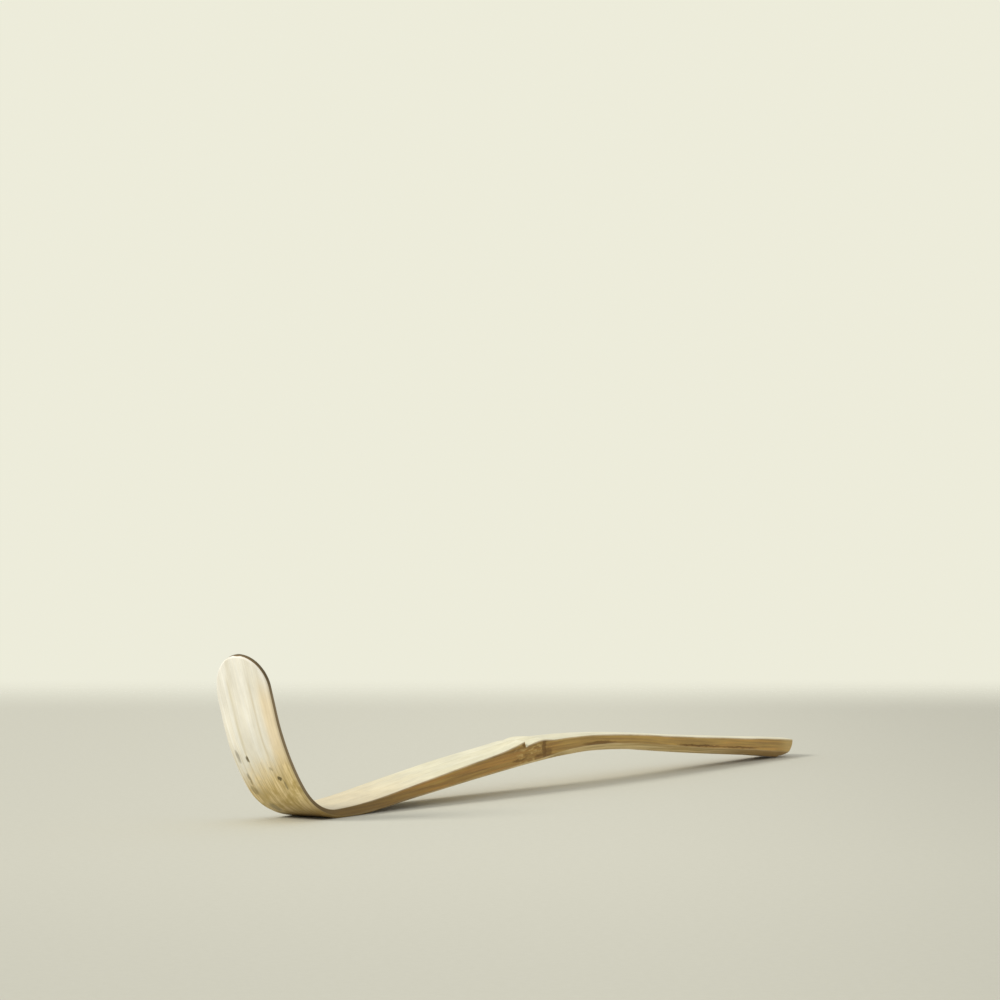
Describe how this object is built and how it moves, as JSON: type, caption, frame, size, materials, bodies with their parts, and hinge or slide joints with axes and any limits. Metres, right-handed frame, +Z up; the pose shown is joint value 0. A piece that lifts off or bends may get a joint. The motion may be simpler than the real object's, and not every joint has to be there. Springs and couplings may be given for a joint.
{
  "type": "tea scoop",
  "caption": "Slim bamboo tea scoop: a flat strip with a rounded blade bent up at one end to lift powdered tea, a raised node at mid-length and a plain cut handle end.",
  "frame": {"origin": "centre of the bounding box's footprint, at the height of the table that the scoop rests on", "axes": "+X along the strip towards the cut end of the handle, +Y across the strip, +Z up from the table"},
  "size_m": [0.1678, 0.0104, 0.0255],
  "materials": {
    "bamboo": "smooth knife-cut bamboo, satin skin side, pale streaked inner side"
  },
  "bodies": {
    "root": {"tea_scoop": "bamboo"}
  },
  "joints": []
}
